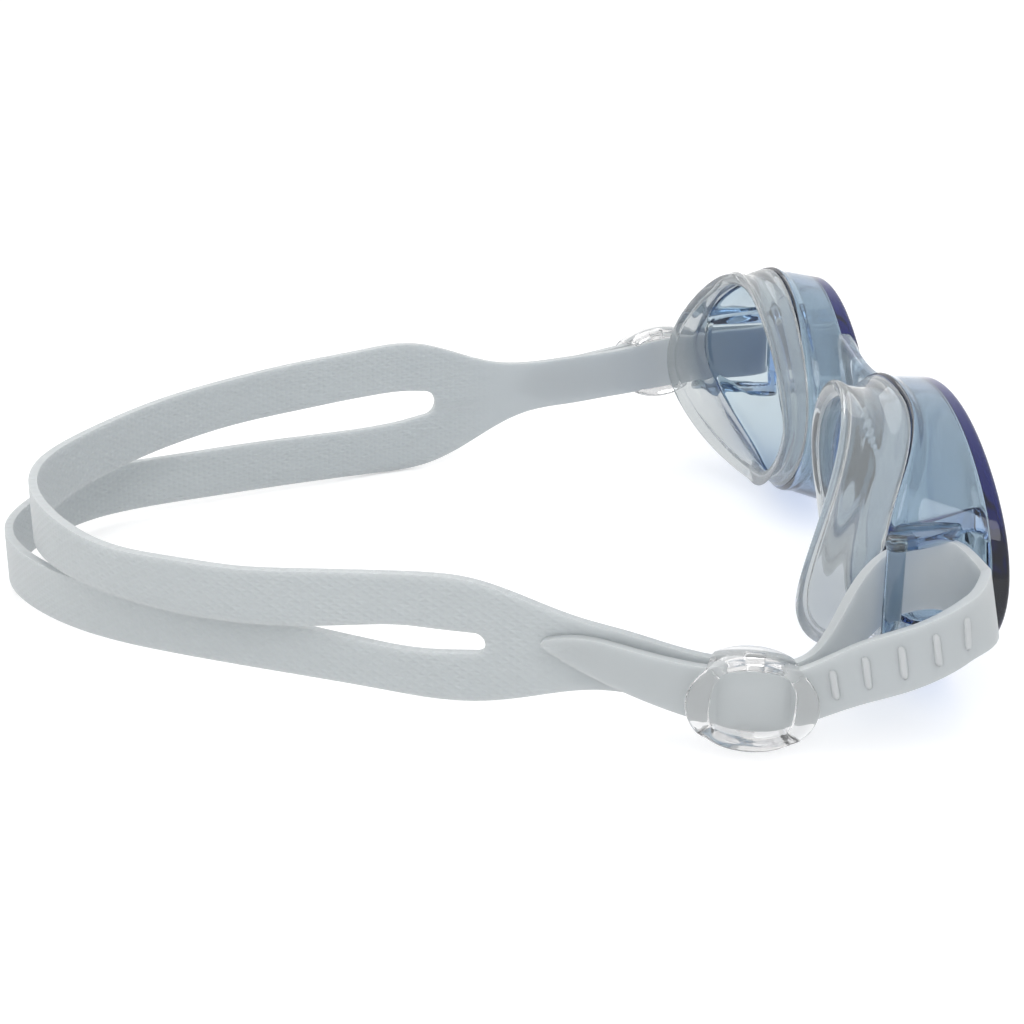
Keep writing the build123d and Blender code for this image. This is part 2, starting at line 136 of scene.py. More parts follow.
def make_piece(name, points, faces, material, body, replaced=(), crease=None):
    """A smooth-shaded mesh from points in mm and faces, turned so that its faces point outwards."""
    corners = np.array(
        [face[:3] for face in faces] + [(f[0], f[2], f[3]) for f in faces if len(f) == 4]
    )
    a, b, c = (points[corners[:, k]] for k in range(3))
    volume = np.einsum("ij,ij->i", a, np.cross(b, c)).sum()
    if volume < 0:
        faces = [f[::-1] for f in faces]
    mesh = bpy.data.meshes.new(name)
    mesh.from_pydata((points * MM).tolist(), [], faces)
    mesh.validate()
    mesh.shade_smooth()
    if crease:
        mesh.set_sharp_from_angle(angle=radians(crease))
    mesh.materials.append(material)
    piece = bpy.data.objects.new(name, mesh)
    bpy.context.scene.collection.objects.link(piece)
    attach(piece, body)
    if replaced:
        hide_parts(*replaced)
    return piece


def ring_faces(rings, around, first=0, wrap=False):
    """Quads between neighbouring closed rings of vertices; wrap joins the last ring to the first."""
    i = np.arange(rings if wrap else rings - 1)[:, None]
    j = np.arange(around)[None, :]
    after_i, after_j = (i + 1) % rings, (j + 1) % around
    quads = np.stack([
        i * around + j, i * around + after_j, after_i * around + after_j, after_i * around + j
    ], axis=-1)
    return (quads.reshape(-1, 4) + first).tolist()


def closed_rings(rings):
    """Points and faces of a shell of rings, with its first and last ring each closed by a pole."""
    count, around = rings.shape[:2]
    points = np.concatenate([rings.reshape(-1, 3), rings[[0, -1]].mean(axis=1)])
    faces = ring_faces(count, around)
    start, end = count * around, count * around + 1
    for j in range(around):
        after = (j + 1) % around
        faces.append([start, after, j])
        faces.append([end, (count - 1) * around + j, (count - 1) * around + after])
    return points, faces


def rounded_loop(width, height, radius, arc=5):
    """Points round a rectangle with rounded corners, as (width, height) offsets from its middle."""
    radius = min(radius, width / 2 - 0.01, height / 2 - 0.01)
    turn = np.concatenate([np.linspace(0, pi / 2, arc) + k * pi / 2 for k in range(4)])
    corner = np.repeat(np.array([[1, 1], [-1, 1], [-1, -1], [1, -1]], float), arc, axis=0)
    reach = np.array([width / 2 - radius, height / 2 - radius])
    return corner * reach + radius * np.stack([np.cos(turn), np.sin(turn)], axis=1)


def closed_curve(points, count):
    """A closed cubic through the points, read at so many places."""
    knots = np.arange(len(points) + 1)
    at = np.linspace(0, len(points), count, endpoint=False)
    return cubic(knots, np.vstack([points, points[:1]]), at)


def at_height(plan, height):
    """A plan curve as a ring of points at one height."""
    return np.column_stack([plan, np.full(len(plan), height)])


def tangents(plan):
    """Unit vectors along a plan's stations."""
    along = np.gradient(plan, axis=0)
    return along / np.linalg.norm(along, axis=1)[:, None]


def joined_shells(*parts):
    """Several (points, faces) shells as one."""
    points, faces, base = [], [], 0
    for part_points, part_faces in parts:
        points.append(part_points)
        faces += [[index + base for index in face] for face in part_faces]
        base += len(part_points)
    return np.concatenate(points), faces


def mirrored(points, side):
    """Points of the wearer's left side, carried to the side asked for."""
    return points * np.array([1 if side == "left" else -1, 1, 1])


# ---- materials -----------------------------------------------------------------------------------
def linear(hex_colour):
    """Linear red, green, blue and alpha of an sRGB hex colour."""
    channels = [int(hex_colour[k:k + 2], 16) / 255 for k in (1, 3, 5)]
    return (*[c / 12.92 if c <= 0.04045 else ((c + 0.055) / 1.055) ** 2.4 for c in channels], 1.0)


def add_node(tree, kind, links=(), settings=(), **inputs):
    """Adds a node: links are (socket, source socket), settings its properties, inputs its values."""
    node = tree.nodes.new(kind)
    for key, value in dict(settings).items():
        setattr(node, key, value)
    for key, value in inputs.items():
        node.inputs[key.replace("_", " ")].default_value = value
    for socket, source in links:
        tree.links.new(node.inputs[socket], source)
    return node


def new_material(name):
    """An empty node material and its tree."""
    material = bpy.data.materials.new(name)
    material.use_nodes = True
    material.node_tree.nodes.clear()
    return material, material.node_tree


def any_of(tree, *sockets):
    """One where any of the sockets is one, for the kinds of ray that Light Path tells apart."""
    total = sockets[0]
    for socket in sockets[1:]:
        total = add_node(
            tree, "ShaderNodeMath", [(0, total), (1, socket)], {"operation": "MAXIMUM"}
        ).outputs[0]
    return total


def finish_material(tree, shader):
    """Wires the shader to a new output node."""
    return add_node(tree, "ShaderNodeOutputMaterial", [("Surface", shader.outputs[0])])


def finish_clear(tree, shader, tint, haze, absorption=None):
    """Wires the output of a clear plastic.

    Haze is (share, colour) of light scattered at the surface. Absorption is (colour, density) of
    what is lost inside, per metre of path: density x (1 - colour). Lamp and diffuse rays go
    straight through with the tint, so that what lies behind is lit.
    """
    share, colour = haze
    cloud = add_node(tree, "ShaderNodeBsdfPrincipled", Base_Color=linear(colour), Roughness=0.6)
    seen = add_node(tree, "ShaderNodeMixShader", [(1, shader.outputs[0]), (2, cloud.outputs[0])])
    seen.inputs[0].default_value = share
    path = add_node(tree, "ShaderNodeLightPath")
    lighting = any_of(tree, path.outputs["Is Shadow Ray"], path.outputs["Is Diffuse Ray"])
    through = add_node(tree, "ShaderNodeBsdfTransparent", Color=linear(tint))
    surface = add_node(
        tree, "ShaderNodeMixShader",
        [(0, lighting), (1, seen.outputs[0]), (2, through.outputs[0])],
    )
    output = finish_material(tree, surface)
    if absorption:
        volume = add_node(
            tree, "ShaderNodeVolumeAbsorption", Color=linear(absorption[0]), Density=absorption[1]
        )
        tree.links.new(output.inputs["Volume"], volume.outputs[0])


def moulded_ripple(tree, spacing, strength, height):
    """The slow unevenness of a moulded face, that bends its reflections."""
    place = add_node(tree, "ShaderNodeTexCoord")
    ripple = add_node(tree, "ShaderNodeTexNoise", [("Vector", place.outputs["Object"])],
                      Scale=1 / (spacing * MM), Detail=1.0)
    return add_node(tree, "ShaderNodeBump", [("Height", ripple.outputs[0])],
                    Strength=strength, Distance=height * MM)


def tinted_polycarbonate():
    """Injection-moulded blue polycarbonate: glossy, and navy wherever it is looked at edge-on."""
    material, tree = new_material("tinted_polycarbonate_moulded")
    bump = moulded_ripple(tree, 14, 0.15, 0.25)
    # The grey in the base colour is painted shade: it dims each pass through a wall, standing in for
    # darker surroundings seen through the lens. The blue is the real absorption below.
    shader = add_node(
        tree, "ShaderNodeBsdfPrincipled", [("Normal", bump.outputs[0])],
        Base_Color=linear("#D4DAD6"), Roughness=0.03, IOR=1.5, Transmission_Weight=1.0,
    )
    finish_clear(tree, shader, "#E9EDF2", (0.012, "#8FA6BC"), ("#3DA2E4", 160.0))
    return material


def clear_seal_rubber():
    """Clear thermoplastic rubber off a polished mould: glossy, a little hazy, and grey as painted shade.
    """
    material, tree = new_material("clear_seal_rubber_moulded")
    bump = moulded_ripple(tree, 8, 0.25, 0.3)
    # The grey base colour is painted shade, standing in for darker surroundings seen through the clear
    # rubber.
    shader = add_node(
        tree, "ShaderNodeBsdfPrincipled", [("Normal", bump.outputs[0])],
        Base_Color=linear("#CACECF"), Roughness=0.05, IOR=1.33, Transmission_Weight=1.0,
    )
    # The haze is real scatter, and its grey colour is partly painted shade.
    finish_clear(tree, shader, "#F0F1F1", (0.18, "#C2C6C8"))
    return material


GRIP_PITCH, GRIP_SLANT, GRIP_HEIGHT = 2.0, 1.7, 0.12        # the diamond grip, mm and a slope


def frosted_silicone(name, colour):
    """Translucent silicone from a blasted mould: soft grey-white, with a fine diamond grip.

    The grip is the higher of two waves, sin(2 pi (along ± slant x up) / pitch), and fades out where
    the strap nears the lugs.
    """
    material, tree = new_material(name)
    along = add_node(tree, "ShaderNodeUVMap", settings={"uv_map": "run"})
    parts = add_node(tree, "ShaderNodeSeparateXYZ", [("Vector", along.outputs[0])])
    waves = []
    for slant in (GRIP_SLANT, -GRIP_SLANT):
        slope = add_node(tree, "ShaderNodeMath", [(0, parts.outputs["Y"])],
                         {"operation": "MULTIPLY"})
        slope.inputs[1].default_value = slant
        total = add_node(tree, "ShaderNodeMath", [(0, parts.outputs["X"]), (1, slope.outputs[0])],
                         {"operation": "ADD"})
        turns = add_node(tree, "ShaderNodeMath", [(0, total.outputs[0])], {"operation": "MULTIPLY"})
        turns.inputs[1].default_value = tau / GRIP_PITCH
        waves.append(add_node(tree, "ShaderNodeMath", [(0, turns.outputs[0])], {"operation": "SINE"}))
    diamond = add_node(tree, "ShaderNodeMath", [(0, waves[0].outputs[0]), (1, waves[1].outputs[0])],
                       {"operation": "MAXIMUM"})
    grip = add_node(tree, "ShaderNodeAttribute", settings={"attribute_name": "grip"})
    raised = add_node(tree, "ShaderNodeMath", [(0, diamond.outputs[0]), (1, grip.outputs["Fac"])],
                      {"operation": "MULTIPLY"})
    bump = add_node(tree, "ShaderNodeBump", [("Height", raised.outputs[0])],
                    Strength=0.5, Distance=GRIP_HEIGHT * MM)
    shader = add_node(
        tree, "ShaderNodeBsdfPrincipled", [("Normal", bump.outputs[0])],
        Base_Color=linear(colour), Roughness=0.42, IOR=1.41, Transmission_Weight=0.2,
        Subsurface_Weight=0.7, Subsurface_Radius=(1.0, 1.0, 1.0), Subsurface_Scale=2.5 * MM,
    )
    finish_material(tree, shader)
    return material


def clear_polycarbonate():
    """Clear polycarbonate off a polished mould: bright and dark reflections, faint warm grey."""
    material, tree = new_material("clear_polycarbonate_moulded")
    bump = moulded_ripple(tree, 6, 0.2, 0.2)
    shader = add_node(
        tree, "ShaderNodeBsdfPrincipled", [("Normal", bump.outputs[0])],
        Base_Color=linear("#F3F3F3"), Roughness=0.03, IOR=1.45, Transmission_Weight=1.0,
    )
    finish_clear(tree, shader, "#F4F4F4", (0.08, "#DCDEDF"), ("#A09A96", 15.0))
    return material


def pale_blue_polycarbonate():
    """Moulded polycarbonate with less blue in it: glossy, a little cloudy, and paler than the cups."""
    material, tree = new_material("pale_blue_polycarbonate_moulded")
    bump = moulded_ripple(tree, 10, 0.2, 0.25)
    shader = add_node(
        tree, "ShaderNodeBsdfPrincipled", [("Normal", bump.outputs[0])],
        Base_Color=linear("#EAF1F4"), Roughness=0.04, IOR=1.4, Transmission_Weight=1.0,
    )
    finish_clear(tree, shader, "#EDF3F6", (0.2, "#C4D1DA"), ("#7FB4EC", 28.0))
    return material


# ---- lens cups -----------------------------------------------------------------------------------
def cup_limits(depth):
    """Nose side, temple side, top and bottom of the cup at a depth, each on straight slopes.

    Past the crown the top falls, and behind the seam the temple side comes in faster.
    """
    behind = np.maximum(0.0, depth - SEAM_TEMPLE)
    past_crown = np.maximum(0.0, depth - CROWN_DEPTH)
    nose = NOSE_EDGE + NOSE_SLOPE * depth
    temple = TEMPLE_EDGE - TEMPLE_SLOPE * (depth - behind) - SEAL_TAPER * behind
    top = HALF_HEIGHT + CROWN_SLOPE * depth - (CROWN_SLOPE + CROWN_FALL) * past_crown
    bottom = -HALF_HEIGHT + BASE_SLOPE * depth
    return nose, temple, top, bottom


def oval(turn, depth, inset=0.0):
    """A ring of the cup: middle + (a cos t, b sin t)(1 - k sin² 2t), less an inset all round.

    The middle and both half sizes come from the cup's limits at each point's depth.
    """
    depth = np.broadcast_to(depth, np.broadcast(turn, depth).shape)
    nose, temple, top, bottom = cup_limits(depth)
    pull = 1 - DIAGONAL_PULL * np.sin(2 * turn) ** 2
    across = (nose + temple) / 2 + ((temple - nose) / 2 - inset) * np.cos(turn) * pull
    height = (top + bottom) / 2 + ((top - bottom) / 2 - inset) * np.sin(turn) * pull
    return np.stack([across, depth, height], axis=-1)


def settle(turn, rule):
    """The depth at which the cup's oval meets a rule of depth against side and height.

    It is found by twelve steps, each half of the way to what the rule says of the last ring.
    """
    depth = np.full_like(turn, 12.0)
    for _ in range(12):
        ring = oval(turn, depth)
        depth = 0.5 * depth + 0.5 * rule(ring[..., 0], ring[..., 2])
    return depth


def seam_rule(across, height):
    """Depth of the seam between cup and seal: level, then bending back by the side's square.

    Height plays no part in it.
    """
    share = np.maximum(0.0, (across - SEAM_START) / (SEAM_END - SEAM_START))
    return SEAM_NOSE + (SEAM_TEMPLE - SEAM_NOSE) * share ** 2


def tuck(points, wall, softness=1.5):
    """Presses the temple end in to the pocket that the strap runs in, with soft ledges.

    Inside the window the part of x past the pocket's side is taken away; the side slopes outward
    with depth. The ledges are smoothsteps as wide as the softness.
    """
    x, y, z = points[..., 0], points[..., 1], points[..., 2]
    slope = (POCKET_BACK - POCKET_FRONT) * np.clip((y - POCKET_START) / POCKET_LENGTH, 0, 1.3)
    limit = POCKET_FRONT + slope - wall
    top = WINDOW_TOP - POCKET_TOP_FALL * (y - POCKET_START) + wall
    bottom = WINDOW_BOTTOM - wall
    front = POCKET_START + 0.2 - wall * 0.6
    inside = (
        smooth((top - z) / softness) * smooth((z - bottom) / softness)
        * smooth((y - front) / softness)
    )
    return points - np.stack([np.maximum(0, x - limit) * inside, 0 * x, 0 * x], axis=-1)


def lens_cup(side, material):
    """One lens: a domed plate with a rounded rim, its side wall, and the pocket for the strap.

    Rings of the oval go from the front's middle out over the rim, back along the wall, round its
    back edge, and forward inside to the middle of the plate's back. The dome is DOME x (1 - share²).
    """
    turn = np.arange(LENS_AROUND) / LENS_AROUND * tau
    level = 0 * turn
    back = settle(turn, seam_rule) - BACK_ROUND
    outside, inside = [], []
    centre = oval(turn, level).mean(axis=0)
    for share in [*np.linspace(0.08, 0.9, 8), 0.95, 1.0]:
        ring = oval(turn, level, RIM_ROUND)
        ring = centre + (ring - centre) * share
        ring[:, 1] = -DOME * (1 - share ** 2)
        outside.append(ring)
    for angle in np.linspace(0, pi / 2, 7)[1:]:
        depth = RIM_ROUND * (1 - np.cos(angle)) + level
        outside.append(oval(turn, depth, RIM_ROUND * (1 - np.sin(angle))))
    for share in np.linspace(0, 1, 36)[1:]:
        depth = RIM_ROUND + (back - RIM_ROUND) * share
        outside.append(oval(turn, depth, -BACK_FLARE * smooth((share - 0.8) / 0.2)))
    for angle in np.linspace(0, pi, BACK_RINGS + 1)[1:]:
        reach = (WALL + BACK_FLARE) / 2
        inset = reach * (1 - np.cos(angle)) - BACK_FLARE
        outside.append(oval(turn, back + BACK_ROUND * np.sin(angle), inset))
    for share in np.linspace(0, 1, 30)[1:]:
        inside.append(oval(turn, back + (PLATE + PLATE_ROUND - back) * share, WALL))
    for angle in np.linspace(0, pi / 2, 6)[1:]:
        depth = PLATE + PLATE_ROUND * (1 - np.sin(angle)) + level
        inside.append(oval(turn, depth, WALL + PLATE_CORNER * (1 - np.cos(angle))))
    flat = oval(turn, PLATE + level, WALL + PLATE_ROUND)
    middle = flat.mean(axis=0)
    for share in (0.97, 0.85, 0.6, 0.3, 0.08):
        ring = middle + (flat - middle) * share
        ring[:, 1] = PLATE - DOME_BACK * (1 - share ** 2)
        inside.append(ring)
    rings = np.concatenate([
        tuck(np.array(outside[:-BACK_RINGS]), 0.0),
        tuck(np.array(outside[-BACK_RINGS:]), BACK_TUCK),
        tuck(np.array(inside), WALL),
    ])
    points, faces = closed_rings(rings)
    return make_piece(f"lens_cup_{side}", mirrored(points, side), faces, material, "cups",
                      [f"lens_{side}"], crease=38)


LUG_ARM = np.array([
    (63.2, 6.5), (65.2, 7.5), (67.5, 11.5), (69.0, 15.8), (69.0, 18.2), (66.6, 18.2),
    (64.6, 16.6), (62.6, 15.0), (62.4, 10.0),
])
LUG_ARM_HALF = 0.9              # half an arm's thickness
POST_ROUND = 0.7


def lug(side, material):
    """The strap lug: an arm above and below the window, and the post that joins them.

    An arm is its plan curve at heights that follow a half circle, drawn in a little towards its
    two faces: 1 - 0.09 (1 - cos angle).
    """
    loop = closed_curve(LUG_ARM, 72)
    middle = loop.mean(axis=0)
    shells = []
    for level in (WINDOW_TOP, WINDOW_BOTTOM - LUG_ARM_HALF):
        rings = []
        for angle in np.linspace(-pi / 2, pi / 2, 9):
            ring = middle + (loop - middle) * (1 - 0.09 * (1 - np.cos(angle)))
            rings.append(at_height(ring, level + LUG_ARM_HALF * np.sin(angle)))
        shells.append(closed_rings(np.array(rings)))
    post = rounded_loop(POST_SIZE, POST_SIZE, POST_ROUND) + (POST_SIDE, POST_DEPTH)
    heights = np.linspace(WINDOW_BOTTOM - 1.2, WINDOW_TOP + 0.4, 24)
    shells.append(closed_rings(np.array([at_height(post, height) for height in heights])))
    points, faces = joined_shells(*shells)
    return make_piece(f"strap_lug_{side}", mirrored(points, side), faces, material, "cups")


# ---- face seals ----------------------------------------------------------------------------------
# depth of the sealing edge at the nose and at the temple, and how far its top leans back there
SEAL_EDGE = {"left": (13.2, 24.6, 0.12, -0.10), "right": (13.6, 28.4, 0.12, -0.20)}
SEAL_DRAW_IN = 1.9              # how far the top of the sealing edge is drawn in
# the section: inset, share of the way from seam to edge, step in depth
SEAL_SECTION = np.array([
    (0.15, 0.00, 0.1), (0.50, 0.12, 0.1), (1.50, 0.32, 0.0), (1.50, 0.50, 0.0),
    (0.60, 0.78, 0.0), (-0.60, 0.96, 0.0), (-0.90, 1.00, 0.1), (-0.55, 1.00, 0.3),
    (0.30, 1.00, 0.2), (1.20, 1.00, -0.3), (1.75, 1.00, -0.9), (1.70, 1.00, -1.3),
    (1.20, 0.98, -1.1), (0.90, 0.92, -0.6), (1.30, 0.80, 0.0), (2.20, 0.60, 0.0),
    (2.40, 0.38, 0.0), (1.80, 0.15, 0.1), (1.40, 0.02, 0.1), (0.90, 0.00, 0.0),
])


def seal_rule(side):
    """The rule of depth for a side's sealing edge: nose depth + (temple - nose) share^1.6, leaning."""
    nose, temple, nose_lean, temple_lean = SEAL_EDGE[side]

    def depth(across, height):
        share = np.maximum(0.0, (across - SEAL_START) / (SEAL_END - SEAL_START)) ** 1.6
        lean = nose_lean + (temple_lean - nose_lean) * share
        return nose + (temple - nose) * share + lean * height
    return depth


def face_seal(side, material):
    """One seal: a groove behind the lens, a flange out to the sealing edge, and a lip turned in.

    The closed section is carried round the cup's oval. Where the seal is shallow, the lip's steps
    in depth are smaller.
    """
    turn = np.arange(SEAL_AROUND) / SEAL_AROUND * tau
    seam = settle(turn, seam_rule)
    edge = np.maximum(settle(turn, seal_rule(side)), seam + SEAL_LEAST)
    draw_in = SEAL_DRAW_IN * np.maximum(0, np.sin(turn)) ** 2
    reach = np.clip((edge - seam) / 9, 0.45, 1.0)
    rings = []
    for inset, share, step in closed_curve(SEAL_SECTION, 90):
        lip = share > 0.9
        depth = seam + (edge - seam) * share + step * np.where(lip, reach, 1.0)
        ring = oval(turn, depth, inset + draw_in * share ** 2)
        rings.append(tuck(ring, max(0.0, inset)) if share < 0.9 else ring)
    rings = np.array(rings)
    points = rings.reshape(-1, 3)
    faces = ring_faces(len(rings), len(turn), wrap=True)
    return make_piece(f"face_seal_{side}", mirrored(points, side), faces, material, "cups",
                      [f"seal_{side}"])


# ---- nose bridge ---------------------------------------------------------------------------------
BRIDGE_FRONT, BRIDGE_THICK = 0.6, 3.4
BRIDGE_TOP, BRIDGE_TOP_RISE = 14.1, 1.8             # at the middle, and how far it rises to an end
BRIDGE_BOTTOM, BRIDGE_BOTTOM_DROP = 7.5, 3.6
BRIDGE_FLARE = 0.9                                  # how far the ends lie off the wall, top and bottom


def nose_bridge(material):
    """An arch between the cups: a rounded section whose ends follow the curve of each lens wall.

    Top and bottom spread by the square of the share across, and the depth by its fourth power.
    """
    section = rounded_loop(1.0, 1.0, 0.35, arc=8)
    rings = []
    for share in np.linspace(-1, 1, 61):
        top = BRIDGE_TOP + BRIDGE_TOP_RISE * share ** 2
        bottom = BRIDGE_BOTTOM - BRIDGE_BOTTOM_DROP * share ** 2
        y = BRIDGE_FRONT + BRIDGE_THICK * (0.5 + section[:, 0] * (0.7 + 0.45 * share ** 4))
        z = (top + bottom) / 2 + section[:, 1] * (top - bottom)
        nose, temple, high, low = cup_limits(y)
        height = (z - (low + high) / 2) / ((high - low) / 2)
        wall = (nose + temple) / 2 - (temple - nose) / 2 * np.sqrt(1 - height ** 2)
        wall = wall + BRIDGE_FLARE * np.abs(height)
        rings.append(np.column_stack([share * (wall - 0.1), y, z]))
    points, faces = closed_rings(np.array(rings))
    return make_piece("nose_bridge_arch", points, faces, material, "cups", ["nose_bridge"])


# ---- head strap: where it lies, mm ---------------------------------------------------------------
# Plan points are (outside the posts' middle, depth), but (side, depth) round the back. Edges are
# (depth, height), and a side's split starts at the first depth of its split tables.
STRAP_THICK = 1.4
JOIN_DEPTH, JOIN_SIDE = 78.0, 58.8
JOIN_DIRECTION = np.array([-0.287, 0.958])
INNER_RUN = {
    "right": [(1.4, 4.1), (-1.1, 6.4), (-2.3, 9.2), (-2.45, 12), (-2.45, 17), (-1.3, 21.2),
              (0.9, 25.6), (1.7, 30), (0.9, 37), (0.0, 44), (-0.8, 51), (-3.9, 64), (-9.0, 78)],
    "left": [(0.3, 3.7), (-1.9, 6.4), (-2.45, 11), (-2.45, 17), (-1.9, 21.5), (-1.2, 26), (-2.0, 32),
             (-2.7, 38), (-3.4, 44), (-5.5, 62), (-9.0, 78)],
}
OUTER_RUN = {
    "right": [(4.0, 4.9), (6.2, 7.3), (8.2, 12), (7.8, 18.5), (5.6, 25), (4.4, 30), (3.6, 37),
              (2.7, 44), (1.9, 51), (0.0, 57.5), (-2.5, 65)],
    "left": [(2.1, 6.2), (2.55, 11), (2.4, 18), (1.9, 22), (1.5, 26), (0.7, 32), (0.0, 38),
             (-0.7, 44), (-1.8, 50), (-2.7, 55)],
}
UPPER_BACK = [(-52.4, 98), (-43.2, 116.5), (-28.3, 131.4), (-10, 140.2), (3.7, 140.8), (22.9, 132.6),
              (40.3, 117), (52.8, 98)]
LOWER_BACK = [(-50.2, 98), (-38.8, 116.5), (-28.4, 129.6), (-12, 141.6), (5, 147.2), (20, 143.6),
              (31.5, 136), (41.5, 117), (50.5, 98)]
TOP_EDGE = {
    "right": [(4.1, 5.0), (7, 7.2), (12, 8.0), (17, 6.7), (22.5, 1.8), (27.5, -5.6), (31.5, -7.6),
              (36.5, -7.6), (44, -6.4), (53, -3.6), (60, -1.8), (67, 0.5), (74, 2.4), (80, 2.8),
              (86, 2.6), (98, 1.8), (107, 1.1), (116, 0.8), (124, 0.0), (130, -0.3), (136, 0.2),
              (141, 0.8), (150, 0.9)],
    "left": [(3, 4.4), (10, 4.2), (17, 3.6), (26.5, 1.9), (36.5, 0.2), (44, -0.5), (54, -1.2),
             (60, -0.7), (67, 1.5), (74, 3.9), (80, 4.6), (86, 4.1), (98, 3.0), (112, 2.2),
             (125, 1.7), (141, 0.8), (150, 0.9)],
}
BOTTOM_EDGE = {
    "right": [(4.1, -4.3), (7, -2.9), (12, -2.1), (17, -3.7), (22.5, -8.6), (27.5, -14.4),
              (31.5, -15.8), (36.5, -16.1), (44, -15.0), (53, -12.3), (60, -12.3), (67, -14.1),
              (74, -15.6), (80, -15.7), (86, -15.3), (98, -15.1), (112, -15.7), (125, -16.4),
              (141, -17.9), (148, -19.1), (150, -19.2)],
    "left": [(3, -5.4), (10, -5.6), (17, -6.2), (26.5, -7.9), (36.5, -9.1), (44, -10.0),
             (54, -11.4), (60, -13.9), (67, -17.7), (74, -20.4), (80, -21.1), (86, -21.0),
             (98, -20.4), (112, -19.8), (125, -19.7), (141, -19.4), (148, -19.1), (150, -19.2)],
}
SPLIT_TOP = {
    "right": [(73.65, -5.2), (78.5, -5.1), (83.5, -4.9), (88.5, -5.3), (98, -6.5), (125, -7.6),
              (141, -8.7), (150, -9.4)],
    "left": [(74.7, -5.3), (78.5, -4.9), (85, -5.1), (92, -5.7), (98, -6.2), (112, -6.6),
             (125, -7.3), (141, -8.7), (150, -9.4)],
}
SPLIT_BOTTOM = {
    "right": [(73.65, -8.3), (78.5, -8.7), (83.5, -8.7), (88.5, -8.3), (98, -7.6), (125, -7.9),
              (141, -9.6), (148, -10.5), (150, -10.6)],
    "left": [(74.7, -10.5), (78.5, -11.2), (85, -11.7), (92, -11.6), (98, -11.3), (112, -10.7),
             (125, -10.7), (148, -10.5), (150, -10.6)],
}
TAIL_TOP = {
    "right": [(4.1, 5.0), (7, 3.9), (11, 2.3), (16, 0.1), (22.5, -2.8), (27.5, -5.9), (31.5, -7.7),
              (36.5, -7.8), (44, -7.0), (50, -5.6), (56, -4.2), (62, -3.4), (66, -3.5)],
    "left": [(3, 4.4), (10, 4.2), (17, 3.6), (26.5, 1.9), (36.5, 0.0), (44, -1.4), (55, -2.8)],
}
TAIL_BOTTOM = {
    "right": [(4.1, -4.3), (7, -5.5), (11, -7.0), (16, -9.1), (22.5, -11.9), (27.5, -14.4),
              (31.5, -15.8), (36.5, -16.1), (44, -14.9), (50, -12.7), (56, -10.2), (62, -7.7),
              (66, -6.2)],
    "left": [(3, -5.4), (10, -5.6), (17, -6.2), (26.5, -7.9), (36.5, -8.7), (44, -9.0), (55, -9.6)],
}
# a buckle's middle: outside the posts' middle, depth, height, and its rise per mm of depth
BUCKLE_SEAT = {"right": (0.9, 36.6, -12.3, 0.08), "left": (-1.2, 25.7, -2.9, -0.12)}
RUN_SLOPE = -0.12               # how far the doubled strap runs outwards, per mm of depth
LAYER_PITCH = 2.7               # between the strap's two layers in a buckle
SIGN = {"left": 1.0, "right": -1.0}
TIP_LENGTH = 8.0
STRAND_COLUMNS = 7              # vertices across a strand
SHEET_SPACING = 0.4             # between stations along the strap
SPLIT_FINE = 7.2, 3.2           # the stretch ahead of the join that gets three times as many
SPLIT_SETTLES = 45.0, 25.0      # where, and over what length, the shared column takes the split's middle
FRONT_LEAN = 0.2                # the right loop's front: how far its top lies back, per mm of height
FRONT_END, FRONT_FADE = 8.5, 4.0            # depth where the lean ends, and how soon it is full
BACK_BLEND = 45.0               # half the width over which the back passes from right tables to left
SWELL, SWELL_HALF_LENGTH, SWELL_HALF_HEIGHT = 1.3, 4.6, 4.4    # the tail in the buckle's window
GRIP_START, GRIP_FADE = 56.0, 14.0          # depth where the diamond grip starts, and its fade
STRAP_ROUND = 0.45              # round the strap's edges


def chord_knots(points):
    """Running length along straight chords between points."""
    return np.concatenate([[0], np.cumsum(np.linalg.norm(np.diff(points, axis=0), axis=1))])


def edge_at(table, depth):
    """Height of an edge at each depth, on a cubic through its points."""
    knots, heights = np.array(table, float).T
    return cubic(knots, heights, depth)


def side_plan(side, spacing):
    """Plan stations of one side, from the tail's tip round the loop's front to the join.

    Returns the stations and, for each, whether it is on the tail's side of the loop's front.
    """
    shift = np.array([SIGN[side], 1.0])
    turned = np.array(OUTER_RUN[side][::-1] + INNER_RUN[side], float)
    turned[:, 0] += POST_SIDE
    points = turned * shift
    knots = chord_knots(points)
    at = np.concatenate([
        np.arange(0, knots[-1] - SPLIT_FINE[0], spacing),
        np.arange(knots[-1] - SPLIT_FINE[0], knots[-1] - SPLIT_FINE[1], spacing / 3),
        np.arange(knots[-1] - SPLIT_FINE[1], knots[-1] - spacing / 2, spacing), [knots[-1]],
    ])
    stations = cubic(knots, points, at, end=JOIN_DIRECTION * shift)
    return stations, at < knots[len(OUTER_RUN[side])]


def back_plan(points, spacing):
    """Plan stations of one strand from the right join, round the back, to the left join."""
    points = np.array([(-JOIN_SIDE, JOIN_DEPTH), *points, (JOIN_SIDE, JOIN_DEPTH)])
    knots = chord_knots(points)
    at = np.linspace(0, knots[-1], int(knots[-1] / spacing))
    start, end = JOIN_DIRECTION * (-1, 1), JOIN_DIRECTION * (1, 1)
    return cubic(knots, points, at, start=start, end=-end)


